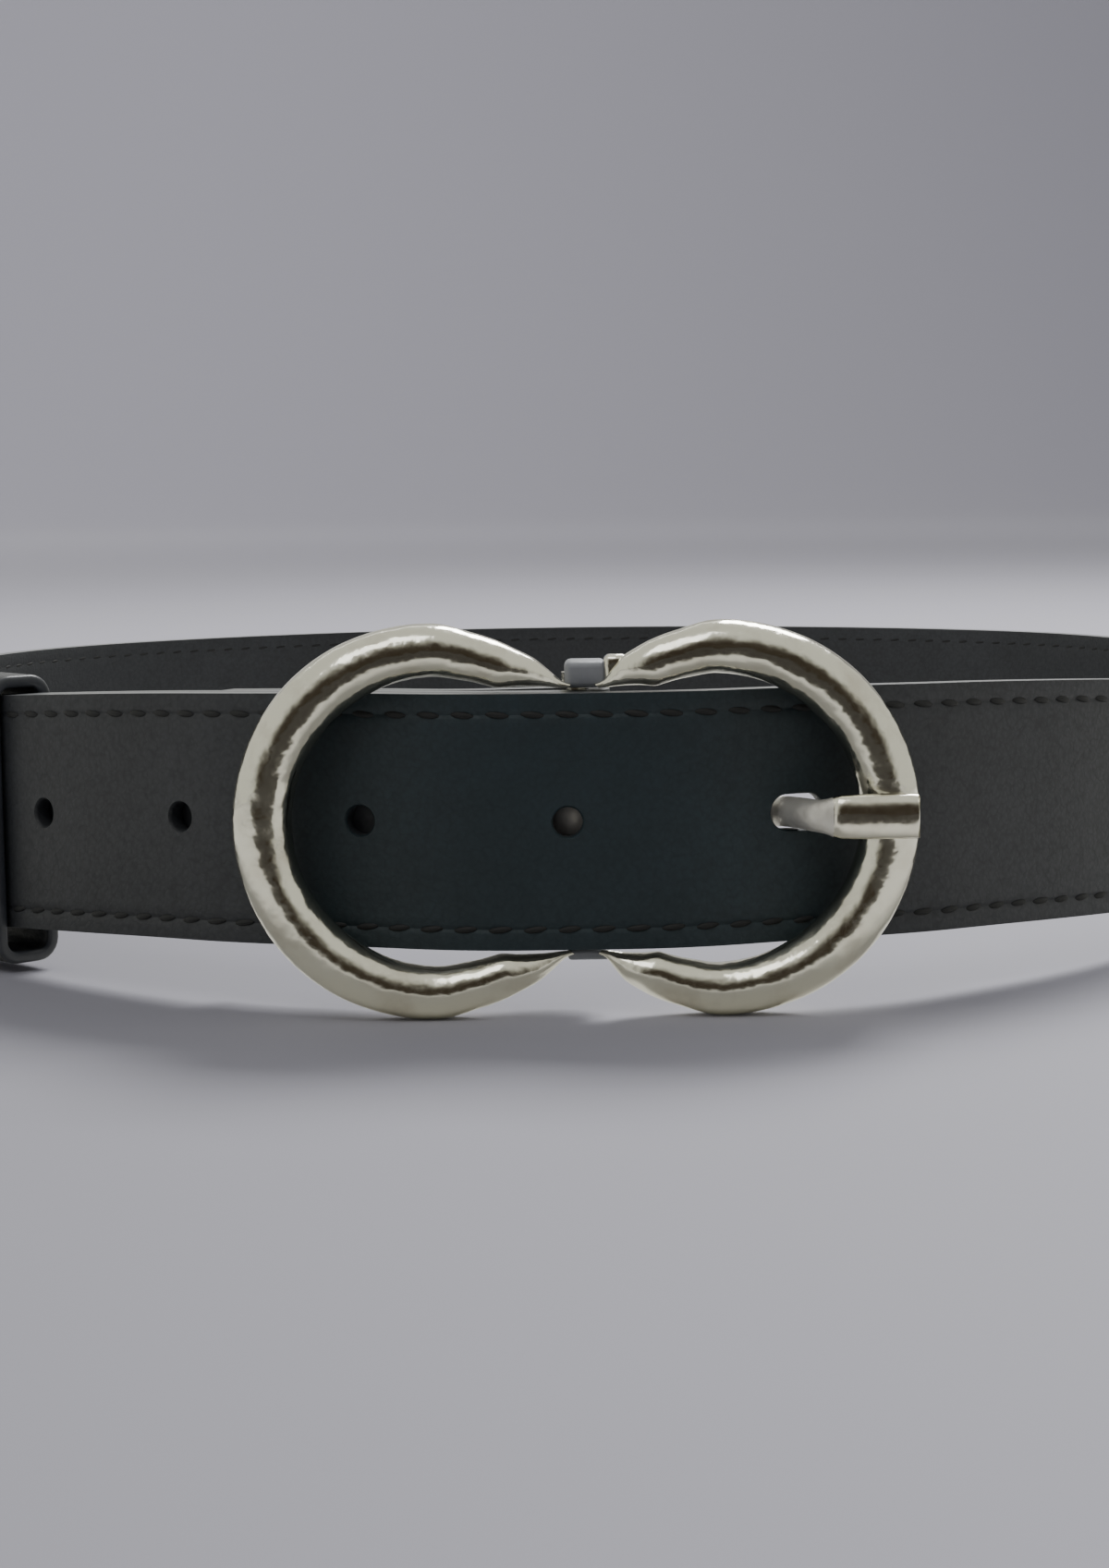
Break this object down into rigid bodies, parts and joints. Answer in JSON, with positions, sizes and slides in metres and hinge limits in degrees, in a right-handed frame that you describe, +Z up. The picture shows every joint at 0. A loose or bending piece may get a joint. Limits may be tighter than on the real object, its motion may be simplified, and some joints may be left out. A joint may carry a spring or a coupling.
{
  "type": "belt",
  "caption": "Fastened leather belt standing in a loop on its edge, with a cast double ring buckle, a prong and a keeper loop",
  "frame": {"origin": "middle of the underside of the bounding box, on the floor that the buckle's rings and the strap's lower edge stand on", "axes": "+Z up, along the strap's width; -Y the side the buckle faces; +X the viewer's right when looking at the buckle"},
  "size_m": [0.2296, 0.2892, 0.0464],
  "materials": {
    "strap_leather": "matt, fine grained, charcoal black, dark stitching along both edges",
    "keeper_leather": "matt, fine grained, charcoal black",
    "frame_metal": "polished warm nickel plate, slightly uneven casting",
    "prong_metal": "polished warm nickel plate"
  },
  "bodies": {
    "root": {"strap": "strap_leather", "keeper": "keeper_leather", "buckle_frame": "frame_metal", "buckle_prong": "prong_metal"}
  },
  "joints": []
}
